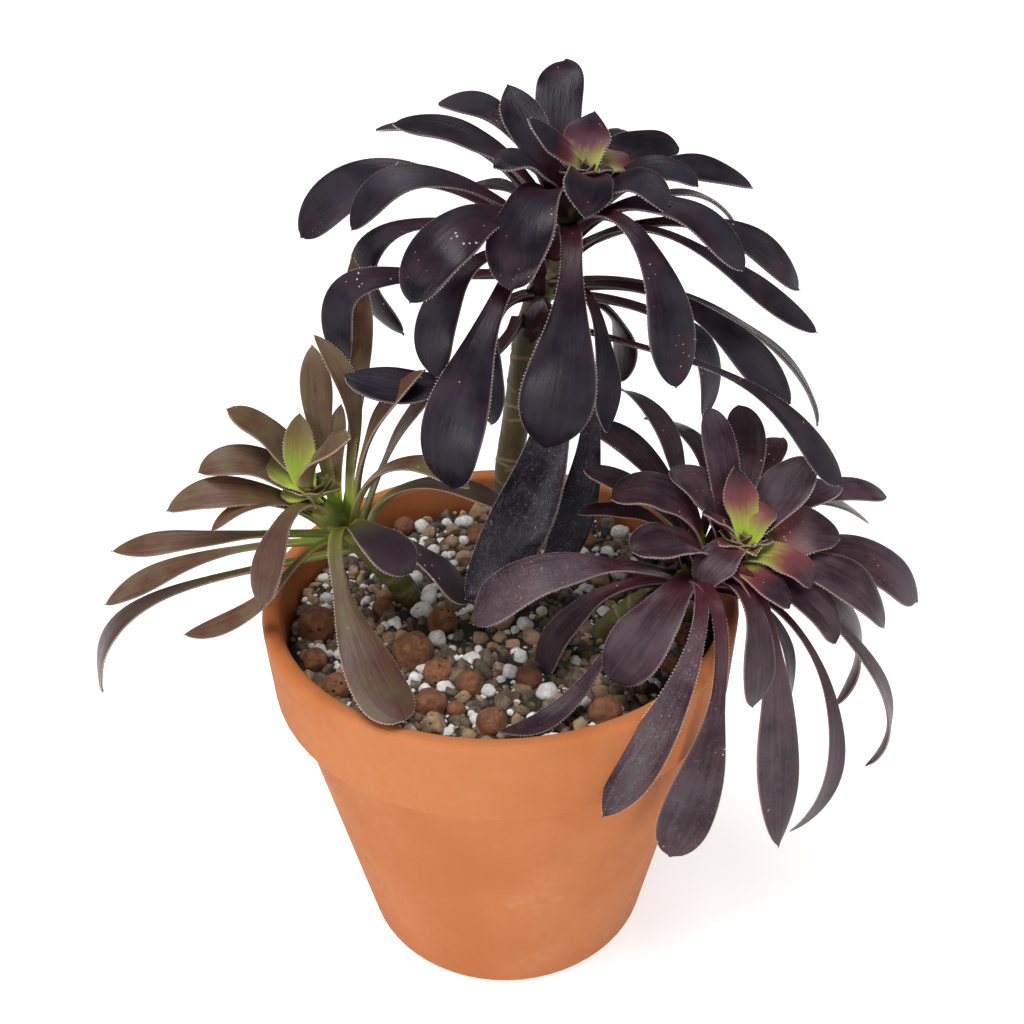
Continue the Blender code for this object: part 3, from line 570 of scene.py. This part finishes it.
def leaf_material(name, tones):
    """Waxy leaf: green foot, red flush and dark blade, streaked lengthwise, dusty in places; its paler
    patches and its pale film are partly a painted sheen.
    """
    n = Nodes(name)
    along, across, face, seed = n.attribute("marks")
    green, spots, dark, _ = n.attribute("nature")
    offset = n.math("MULTIPLY", seed, 40.0)
    streak_place = n.add("ShaderNodeCombineXYZ", {"X": n.math("MULTIPLY", across, 5.0),
                                                  "Y": n.math("MULTIPLY", along, 2.2),
                                                  "Z": offset}).outputs[0]
    streaks = n.noise(2.2, 3.0, 0.5, streak_place)
    grain = n.noise(9.0, 3.0, 0.6, streak_place)
    broad = n.noise(42.0, 3.0)
    mottle = n.noise(120.0, 3.0, 0.55)
    fine = n.noise(900.0, 2.0)
    # A faint pale film in broad patches: partly dust, partly a painted sheen
    dust_and_sheen = n.ramp(broad, 0.42, 0.66)
    # Patches and streaks of the paler tone over the dark blade: partly the leaf's own mottling, partly a
    # painted sheen
    tone_and_sheen_share = n.math("ADD", n.math("MULTIPLY", streaks, 0.30), n.math("MULTIPLY", mottle, 0.30))
    tone_and_sheen_share = n.math("ADD", tone_and_sheen_share, n.math("MULTIPLY", broad, 0.40))
    tone = n.mix(n.ramp(tone_and_sheen_share, 0.38, 0.62), tones.blade, tones.light)
    tone = n.mix(n.ramp(n.noise(60.0, 2.0), 0.48, 0.70, 0.0, 0.28), tone, tones.stalk)
    tone = n.mix(n.math("MULTIPLY", dark, n.ramp(along, 0.15, 0.45)), tone, DARK_TONE)
    wavy = n.math("ADD", along, n.math("MULTIPLY", n.math("SUBTRACT", streaks, 0.5), 0.16))
    plain = n.mix(n.ramp(wavy, 0.10, 0.60), tones.stalk, tone)
    edge = n.math("ABSOLUTE", n.math("SUBTRACT", across, 0.5))
    bowed = n.math("SUBTRACT", wavy, n.math("MULTIPLY", n.math("MULTIPLY", edge, edge), 0.35))
    colour = n.mix(n.ramp(bowed, n.math("MULTIPLY", green, 0.75), n.math("MULTIPLY", green, 1.75)),
                   tones.flush, plain)
    colour = n.mix(n.ramp(bowed, n.math("MULTIPLY", green, 0.35), n.math("MULTIPLY", green, 1.15)),
                   tones.young, colour)
    colour = n.mix(n.math("GREATER_THAN", green, 0.01), plain, colour)
    colour = n.mix(n.math("MULTIPLY", n.math("SUBTRACT", 1.0, face), 0.7), colour, tones.under)
    colour = n.mix(n.ramp(edge, 0.472, 0.5, 0.0, 0.7), colour, tones.margin)
    dust = n.cells(520.0)
    speck = n.math("LESS_THAN", dust.outputs["Distance"], n.ramp(n.noise(60.0), 0.50, 0.75, 0.0, 0.20))
    marks = n.cells(150.0, n.add("ShaderNodeVectorMath", {0: n.place, 1: n.noise(160.0)},
                                 operation="ADD").outputs[0])
    chosen = n.math("LESS_THAN", n.add("ShaderNodeSeparateColor", {"Color": marks.outputs["Color"]})
                    .outputs[0], n.math("MULTIPLY", spots, 0.45))
    ring = n.math("ABSOLUTE", n.math("SUBTRACT", marks.outputs["Distance"], 0.34))
    ring = n.math("MULTIPLY", n.ramp(ring, 0.0, 0.05, 0.8, 0.0), chosen)
    pale = n.math("MAXIMUM", n.math("MULTIPLY", speck, 0.75), ring)
    # Dust and painted sheen: the pale film mixed into the colour
    colour = n.mix(n.math("MULTIPLY", dust_and_sheen, 0.03), colour, (0.30, 0.27, 0.34))
    colour = n.mix(pale, colour, (0.42, 0.40, 0.40))
    rough = n.ramp(mottle, 0.32, 0.68, 0.26, 0.36)
    rough = n.math("ADD", rough, n.math("MULTIPLY", n.math("ADD", pale, dust_and_sheen), 0.12))
    height = n.math("ADD", n.math("MULTIPLY", streaks, 0.5), n.math("MULTIPLY", broad, 1.2))
    height = n.math("ADD", height, n.math("MULTIPLY", grain, 0.22))
    height = n.math("ADD", height, n.math("MULTIPLY", fine, 0.08))
    return n.finish(colour, rough, n.bump(height, 0.35, 0.0009), Specular_IOR_Level=0.15)


def teeth_material():
    n = Nodes("leaf_teeth")
    return n.finish(n.mix(n.noise(300.0), (0.62, 0.56, 0.56), (0.88, 0.84, 0.82)), 0.5)


def stem_material(name, tone):
    """Olive bark, paler and greyer towards the foot, with crescent leaf scars."""
    n = Nodes(name)
    along, _, scar, _ = n.attribute("marks")
    blotch = n.noise(130.0, 4.0)
    fibre = n.noise(650.0, 4.0, 0.6, n.stretched(1.0, 1.0, 0.18))
    brown = tuple(value * share for value, share in zip(tone, (1.25, 0.85, 0.8)))
    bark = n.mix(n.ramp(blotch, 0.38, 0.62), tone, brown)
    bark = n.mix(n.ramp(fibre, 0.5, 0.75, 0.0, 0.5), bark, (0.025, 0.018, 0.010))
    grey = n.mix(fibre, (0.055, 0.045, 0.026), (0.160, 0.135, 0.085))
    aged = n.ramp(n.math("ADD", along, n.math("MULTIPLY", blotch, 0.25)), 0.12, 0.55)
    colour = n.mix(aged, grey, bark)
    colour = n.mix(n.ramp(along, 0.91, 0.99), colour, (0.200, 0.230, 0.028))
    colour = n.mix(n.math("MULTIPLY", scar, 0.7), colour, (0.27, 0.20, 0.11))
    height = n.math("ADD", n.math("MULTIPLY", fibre, 0.5), blotch)
    return n.finish(colour, n.ramp(fibre, 0.2, 0.8, 0.50, 0.75), n.bump(height, 0.5, 0.0008))


def terracotta():
    """Unglazed clay: faint mottling, dark pin specks, pale bloom and fine turning marks."""
    n = Nodes("terracotta_detail")
    broad = n.noise(16.0, 3.0)
    fine = n.noise(260.0, 5.0, 0.65)
    colour = n.mix(n.ramp(broad, 0.38, 0.66), (0.385, 0.120, 0.034), (0.440, 0.155, 0.056))
    colour = n.mix(n.ramp(fine, 0.35, 0.7, 0.0, 0.25), colour, (0.46, 0.14, 0.05))
    holes = n.cells(330.0)
    sparse = n.ramp(n.noise(45.0, 2.0), 0.58, 0.74, 0.0, 0.14)
    speck = n.math("LESS_THAN", holes.outputs["Distance"], sparse)
    colour = n.mix(n.math("MULTIPLY", speck, 0.6), colour, (0.13, 0.055, 0.03))
    bloom = n.ramp(n.noise(26.0, 6.0, 0.7), 0.58, 0.80, 0.0, 0.30)
    colour = n.mix(bloom, colour, (0.70, 0.40, 0.26))
    rings = n.noise(900.0, 2.0, 0.5, n.stretched(0.04, 0.04, 1.0))
    height = n.math("ADD", n.math("MULTIPLY", rings, 0.5), n.math("MULTIPLY", fine, 0.8))
    height = n.math("SUBTRACT", height, n.math("MULTIPLY", speck, 0.8))
    return n.finish(colour, n.ramp(fine, 0.3, 0.7, 0.60, 0.80), n.bump(height, 0.25, 0.0005),
                    Specular_IOR_Level=0.15)


def stone_material(name, dark, light, grain, pit=0.0, rough=0.85):
    """Porous stone: two mottled tones, grainy bump and, for pumice and clay, pits darkened with painted
    shade.
    """
    n = Nodes(name)
    tint = n.attribute("marks")[0]
    mottle = n.noise(grain, 4.0, 0.6)
    colour = n.mix(n.ramp(mottle, 0.35, 0.68), dark, light)
    colour = n.mix(n.math("MULTIPLY", tint, 0.5), colour, dark)
    height = mottle
    if pit > 0:
        holes = n.cells(grain * 1.2)
        hole = n.ramp(holes.outputs["Distance"], 0.08, 0.34, 1.0, 0.0)
        hole = n.math("MULTIPLY", hole, n.ramp(n.noise(grain * 0.5, 2.0), 0.50, 0.62))
        # Painted shade: the pores are only bumps, so their darkness is painted into the colour
        pore_shade = tuple(value * 0.15 for value in dark)
        colour = n.mix(n.math("MULTIPLY", hole, pit), colour, pore_shade)
        height = n.math("SUBTRACT", mottle, n.math("MULTIPLY", hole, 1.2))
    height = n.math("ADD", height, n.math("MULTIPLY", n.noise(grain * 6, 3.0, 0.6), 0.35))
    return n.finish(colour, rough, n.bump(height, 0.6, 0.0009))


# ---------------------------------------------------------------- stems

STEM_SIDES = 28
RING_EVERY = 0.8             # distance between a stem's rings of points
SCAR_COUNTS = {"top": 30, "left": 12, "right": 14}
SCAR_SPAN = (0.06, 0.92)     # shares of the length that bear scars
SCAR_FACING = 0.2            # cosine at a scar's ends
SCAR_FADE = 2.5
SCAR_DROOP = 2.5
SCAR_HEIGHT = 0.5
SCAR_SWELL = 0.35
LUMPS = 0.25                 # unevenness of the bark
LUMPS_AROUND = 1.4
LUMPS_ALONG = 0.13


def make_stem(name, stem, scar_count, rng):
    """A tapered stem with raised rings at the old leaf scars."""
    route = catmull_rom(stem.route, 20)
    _, total = evenly(route, 2)
    count = int(total / RING_EVERY)
    line, _ = evenly(route, count)
    forward = directions(line)
    scars = [(rng.uniform(*SCAR_SPAN) * total, rng.uniform(0, 2 * math.pi))
             for _ in range(scar_count)]
    points = []
    marks = []
    right = np.cross(forward[0], np.array((0.0, 1.0, 0.0)))
    for i in range(count):
        share = i / (count - 1)
        right = unit(right - forward[i] * right.dot(forward[i]))
        other = np.cross(forward[i], right)
        radius = stem.foot_radius + (stem.crown_radius - stem.foot_radius) * share
        for k in range(STEM_SIDES):
            angle = 2 * math.pi * k / STEM_SIDES
            scar = 0.0
            for at, turn in scars:
                facing = math.cos(angle - turn)
                if facing > SCAR_FACING:
                    height = share * total - at + (1 - facing) * SCAR_DROOP
                    ends = min(1.0, (facing - SCAR_FACING) * SCAR_FADE)
                    scar = max(scar, math.exp(-(height / SCAR_HEIGHT) ** 2) * ends)
            place = Vector((angle * LUMPS_AROUND, share * total * LUMPS_ALONG, radius))
            bumpy = LUMPS * noise.noise(place)
            direction = right * math.cos(angle) + other * math.sin(angle)
            points.append(line[i] + direction * (radius + SCAR_SWELL * scar + bumpy))
            marks.append((share, k / STEM_SIDES, scar, 1.0))
    faces = []
    for i in range(count - 1):
        for k in range(STEM_SIDES):
            m = (k + 1) % STEM_SIDES
            a, b = i * STEM_SIDES, (i + 1) * STEM_SIDES
            faces.append((a + k, a + m, b + m, b + k))
    faces.append(tuple(reversed(range(STEM_SIDES))))
    faces.append(tuple(range((count - 1) * STEM_SIDES, count * STEM_SIDES)))
    return bpy.data.objects.new(name, smooth_mesh(name, points, faces, marks=marks))


# ---------------------------------------------------------------- stones


def icosphere(subdivisions):
    bm = bmesh.new()
    bmesh.ops.create_icosphere(bm, subdivisions=subdivisions, radius=1.0)
    points = np.array([v.co[:] for v in bm.verts])
    faces = [tuple(v.index for v in f.verts) for f in bm.faces]
    bm.free()
    return points, faces


SPHERES = {detail: icosphere(detail) for detail in (2, 3, 5)}


class Stones:
    """A heap of lumpy stones that share one mesh."""

    def __init__(self):
        self.points = []
        self.faces = []
        self.marks = []

    def add(self, centre, size, rng, lump=0.28, cuts=0, detail=2, stretch=0.15):
        """One stone: a sphere pushed in and out, planed off, stretched and turned at random."""
        base, faces = SPHERES[detail]
        offset = Vector(rng.uniform(-50, 50, 3))
        push = [noise.noise(Vector(p) * 1.1 + offset) + 0.5 * noise.noise(Vector(p) * 2.6 + offset)
                for p in base]
        shape = base * (1 + lump * np.array(push))[:, None]
        for _ in range(cuts):
            way = unit(rng.normal(size=3))
            over = np.maximum(shape @ way - rng.uniform(0.55, 0.9), 0)
            shape = shape - np.outer(over * 0.85, way)
        shape = shape * rng.uniform(1 - stretch, 1 + stretch, 3)
        turn = Matrix.Rotation(rng.uniform(0, 2 * math.pi), 3, Vector(rng.normal(size=3)))
        shape = shape @ np.array(turn).T * size
        start = len(self.points)
        self.points.extend((shape + np.array(centre)).tolist())
        self.faces.extend([tuple(i + start for i in f) for f in faces])
        self.marks.extend([(rng.uniform(0, 1), 0.0, 0.0, 1.0)] * len(base))

    def add_cluster(self, centre, size, rng):
        """A popped grain: a bead, often with smaller ones grown to it."""
        self.add(centre, size * 0.85, rng, lump=0.20, detail=3)
        for _ in range(rng.integers(0, 3)):
            shift = rng.normal(size=3) * size * 0.42
            shift[2] = abs(shift[2]) * 0.3
            self.add(np.array(centre) + shift, size * rng.uniform(0.45, 0.62), rng, lump=0.18,
                     detail=3)

    def build(self, name, material):
        mesh = smooth_mesh(name, self.points, self.faces, marks=self.marks)
        mesh.materials.append(material)
        return bpy.data.objects.new(name, mesh)


GRIT_TOP = 125.0
GRIT_RADIUS = 72.0
# Each fired clay ball's place and radius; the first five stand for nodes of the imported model
CLAY_BALLS = [
    (-62, -6, 7.2), (-29, -21, 7.0), (-22, -46, 5.3), (-3, -55, 5.0), (32, -52, 5.5),
    (-20, -4, 5.5), (-52, -37, 5.1), (-20, -31, 4.9), (-10, -37, 4.7), (-61, -23, 4.2),
    (-14, -48, 3.0), (-41, 5, 4.0), (-37, 57, 4.2), (-8, 50, 4.7), (32, 45, 3.8),
    (9, -34, 4.3), (62, -14, 4.7), (55, -30, 3.5),
]
NODE_BALLS = 5
BALL_DEPTH = 0.3             # a ball's centre above the grit as a share of its radius

# Throws of stones, from coarse to fine: how many, smallest and largest radius, and how close
GRIT_PASSES = [(420, 2.7, 4.1, 0.82), (900, 2.0, 2.8, 0.74), (1600, 1.3, 2.0, 0.66),
               (3000, 0.7, 1.2, 0.60)]
BED_STONES = 900             # chips that fill the gaps from below
BED_SIZES = (1.8, 3.0)
BED_DEPTH = 0.9              # their centres below the grit's level
BED_MARGIN = 2.5             # kept clear of the pot's wall
BED_KINDS = ("charcoal", "brown_stone", "brown_stone")
GRIT_SHARES = {"perlite": 0.30, "pumice": 0.24, "brown_stone": 0.36, "charcoal": 0.10}


def grit_materials():
    return {
        "perlite": stone_material("perlite", (0.60, 0.585, 0.56), (0.90, 0.89, 0.87), 420.0, 0.5),
        "pumice": stone_material("pumice", (0.26, 0.16, 0.085), (0.42, 0.29, 0.18), 380.0, 0.7),
        "brown_stone": stone_material("brown_stone", (0.070, 0.048, 0.032), (0.23, 0.170, 0.115),
                                      380.0, 0.6),
        "charcoal": stone_material("charcoal", (0.010, 0.009, 0.009), (0.035, 0.032, 0.031), 300.0),
    }


def build_medium(rng):
    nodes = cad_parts
    nodes["soil_mix"].data.materials[0] = stone_material(
        "soil_detail", (0.020, 0.013, 0.009), (0.060, 0.040, 0.030), 300.0)
    # Painted shade: the grit's bed is near black so that the gaps between the stones look shaded
    nodes["grit_layer"].data.materials[0] = stone_material(
        "grit_bed_gap_shade", (0.008, 0.006, 0.005), (0.035, 0.026, 0.020), 260.0)
    fired = stone_material("fired_clay_detail", (0.130, 0.047, 0.019), (0.270, 0.112, 0.052), 330.0,
                           1.0)
    loose = Stones()
    taken = []
    for i, (x, y, radius) in enumerate(CLAY_BALLS):
        taken.append((x, y, radius))
        centre = (x, y, GRIT_TOP + radius * BALL_DEPTH)
        store = Stones() if i < NODE_BALLS else loose
        store.add(centre, radius, rng, lump=0.09, detail=5, stretch=0.05)
        if i < NODE_BALLS:
            ball = link(store.build(f"fired_ball_{i + 1}", fired))
            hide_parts(f"clay_ball_{i + 1}")
    link(loose.build("fired_balls", fired))
    for stem in STEMS.values():
        x, y, _ = stem.route[1]
        taken.append((x, y, stem.foot_radius))
    heaps = {kind: Stones() for kind in GRIT_SHARES}
    for _ in range(BED_STONES):
        distance = (GRIT_RADIUS - BED_MARGIN) * math.sqrt(rng.uniform())
        angle = rng.uniform(0, 2 * math.pi)
        centre = (distance * math.cos(angle), distance * math.sin(angle), GRIT_TOP - BED_DEPTH)
        kind = BED_KINDS[rng.integers(len(BED_KINDS))]
        heaps[kind].add(centre, rng.uniform(*BED_SIZES), rng, lump=0.35, cuts=6, stretch=0.3)
    kinds = list(GRIT_SHARES)
    for throws, smallest, largest, gap in GRIT_PASSES:
        for _ in range(throws):
            kind = kinds[rng.choice(len(kinds), p=list(GRIT_SHARES.values()))]
            size = rng.uniform(smallest, largest)
            distance = (GRIT_RADIUS - size) * math.sqrt(rng.uniform())
            angle = rng.uniform(0, 2 * math.pi)
            x, y = distance * math.cos(angle), distance * math.sin(angle)
            others = np.array(taken)
            apart = np.hypot(others[:, 0] - x, others[:, 1] - y)
            if np.any(apart < gap * (size + others[:, 2])):
                continue
            taken.append((x, y, size))
            centre = (x, y, GRIT_TOP + rng.uniform(-0.2, 0.5) * size)
            if kind == "perlite":
                heaps[kind].add_cluster(centre, size, rng)
            elif kind == "charcoal":
                heaps[kind].add(centre, size, rng, lump=0.35, cuts=8, stretch=0.3)
            else:
                heaps[kind].add(centre, size, rng, lump=0.30, cuts=3, detail=3, stretch=0.3)
    materials = grit_materials()
    for kind, heap in heaps.items():
        link(heap.build(kind, materials[kind]))


# ---------------------------------------------------------------- the plants

BARK_TONES = {"top": (0.060, 0.048, 0.014), "left": (0.085, 0.090, 0.018),
              "right": (0.075, 0.078, 0.018)}
FRESH_BELOW = 14             # leaves that leave the stem nearer the crown than this keep
FOOT_GREEN = 0.06            # at least this share of their length green
BUD_SCALES = 14
TOOTHLESS_SCALES = 5         # the innermost, which have no teeth yet
BUD_CENTRE = 2.0             # above the stem's end
GOLDEN_ANGLE = 137.5


def build_plant(rosette, rng):
    stem = STEMS[rosette]
    body = make_stem(f"fine_stem_{rosette}", stem, SCAR_COUNTS[rosette], rng)
    body.data.materials.append(stem_material(f"bark_{rosette}", BARK_TONES[rosette]))
    link(body)
    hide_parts(f"stem_{rosette}")
    skin = leaf_material(f"skin_{rosette}", LEAF_TONES[rosette])
    margins = []
    for leaf in LEAVES[rosette] + SMALL_LEAVES[rosette]:
        name = f"blade_{rosette}_{leaf.name}"
        has_node = leaf in LEAVES[rosette]
        if leaf.start < FRESH_BELOW:
            leaf = leaf._replace(green=max(leaf.green, FOOT_GREEN))
        obj, rims = make_leaf(name, leaf_foot(stem, leaf), leaf_tip(stem, leaf), leaf, rng)
        obj.data.materials.append(skin)
        link(obj)
        if has_node:
            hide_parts(f"leaf_{rosette}_{leaf.name}")
        margins += rims
    build_heart(rosette, stem, skin, rng, margins)
    teeth = make_teeth(f"teeth_{rosette}", margins, rng)
    teeth.data.materials.append(teeth_material())
    link(teeth)


def build_heart(rosette, stem, skin, rng, margins):
    """The growing tip: the youngest leaves around a tight spiral of scale leaves."""
    crown, axis = along_stem(stem, 0.0)
    centre = crown + axis * BUD_CENTRE
    for leaf in YOUNG_LEAVES[rosette]:
        obj, rims = make_leaf(f"young_{rosette}_{leaf.name}", centre, leaf_tip(stem, leaf), leaf, rng)
        obj.data.materials.append(skin)
        link(obj)
        margins += rims
    # From the middle out, the scale leaves reach further, lie flatter and grow wider
    for i in range(BUD_SCALES):
        scale = Leaf(f"scale_{i}", 0, GOLDEN_ANGLE * i, 1.0 + i * 0.62, 10.5 - i * 0.22,
                     95 - i * 2, 80 - i * 4, 0, 0.4, 3.4 + i * 0.35, 0, 1.0, 0.4, 0.9,
                     1.0 - i * 0.02)
        obj, rims = make_leaf(f"bud_{rosette}_{i}", centre, leaf_tip(stem, scale), scale, rng)
        obj.data.materials.append(skin)
        link(obj)
        if i == 0:
            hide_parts(f"heart_{rosette}")
        if i >= TOOTHLESS_SCALES:
            margins += rims


# ---------------------------------------------------------------- stage

CAMERA_TILT = 32.0           # degrees below level
CAMERA_ROLL = -1.0
CAMERA_DISTANCE = 391.0
CAMERA_AIM = (4.4, 0.0, 168.0)
FOCAL_SHARE = 1200 / 1024    # focal length as a share of the frame's width
SENSOR = 36.0
LAMP_AIM = (0.0, 0.0, 0.16)
FLOOR_HALF = 8.0


def build_camera():
    tilt = math.radians(CAMERA_TILT)
    roll = math.radians(CAMERA_ROLL)
    forward = Vector((0.0, math.cos(tilt), -math.sin(tilt)))
    up = Vector((0.0, math.sin(tilt), math.cos(tilt)))
    right = Vector((1.0, 0.0, 0.0))
    cos, sin = math.cos(roll), math.sin(roll)
    right, up = right * cos + up * sin, up * cos - right * sin
    data = bpy.data.cameras.new("camera")
    data.sensor_width = SENSOR
    data.lens = SENSOR * FOCAL_SHARE
    data.clip_start = 0.01
    camera = bpy.data.objects.new("camera", data)
    place = (Vector(CAMERA_AIM) - forward * CAMERA_DISTANCE) * MM
    turn = Matrix((right, up, -forward)).transposed().to_4x4()
    camera.matrix_world = Matrix.Translation(place) @ turn
    bpy.context.scene.collection.objects.link(camera)
    bpy.context.scene.camera = camera


def add_lamp(kind, name, place, power, **settings):
    """A lamp of one kind, aimed at the middle of the plant."""
    data = bpy.data.lights.new(name, kind)
    data.energy = power
    for key, value in settings.items():
        setattr(data, key, value)
    lamp = bpy.data.objects.new(name, data)
    lamp.location = place
    way = Vector(LAMP_AIM) - Vector(place)
    lamp.rotation_euler = way.to_track_quat("-Z", "Y").to_euler()
    bpy.context.scene.collection.objects.link(lamp)


def build_stage():
    n = Nodes("floor")
    n.finish(n.mix(n.noise(40.0), (0.64, 0.64, 0.645), (0.66, 0.66, 0.665)), 0.9,
             Specular_IOR_Level=0.1, Emission_Color=(1.0, 1.0, 1.0, 1.0), Emission_Strength=0.62)
    half = FLOOR_HALF
    mesh = bpy.data.meshes.new("floor")
    mesh.from_pydata([(-half, -half, 0), (half, -half, 0), (half, half, 0), (-half, half, 0)], [],
                     [(0, 1, 2, 3)])
    mesh.materials.append(n.material)
    floor = bpy.data.objects.new("floor", mesh)
    floor.location.z = -0.0002
    bpy.context.scene.collection.objects.link(floor)
    world = bpy.data.worlds.new("studio")
    world.use_nodes = True
    backdrop = world.node_tree.nodes["Background"]
    backdrop.inputs[0].default_value = (1.0, 1.0, 1.0, 1.0)
    backdrop.inputs[1].default_value = 0.31
    bpy.context.scene.world = world
    add_lamp("SUN", "broad_key", (-0.15, -0.10, 1.0), 2.7, angle=math.radians(34))
    add_lamp("AREA", "window_left", (-0.60, -0.30, 0.55), 1.0, shape="RECTANGLE", size=0.40,
             size_y=0.25)
    add_lamp("AREA", "window_right", (0.70, -0.25, 0.45), 1.2, shape="RECTANGLE", size=0.40,
             size_y=0.30)
    add_lamp("AREA", "window_front", (-0.42, -1.00, 0.17), 4.5, shape="RECTANGLE", size=0.28,
             size_y=0.26)
    bpy.context.scene.view_settings.view_transform = "Standard"


def main():
    rng = np.random.default_rng(11)
    build_camera()
    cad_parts["pot"].data.materials[0] = terracotta()
    build_medium(rng)
    for rosette in STEMS:
        build_plant(rosette, rng)
    build_stage()


main()
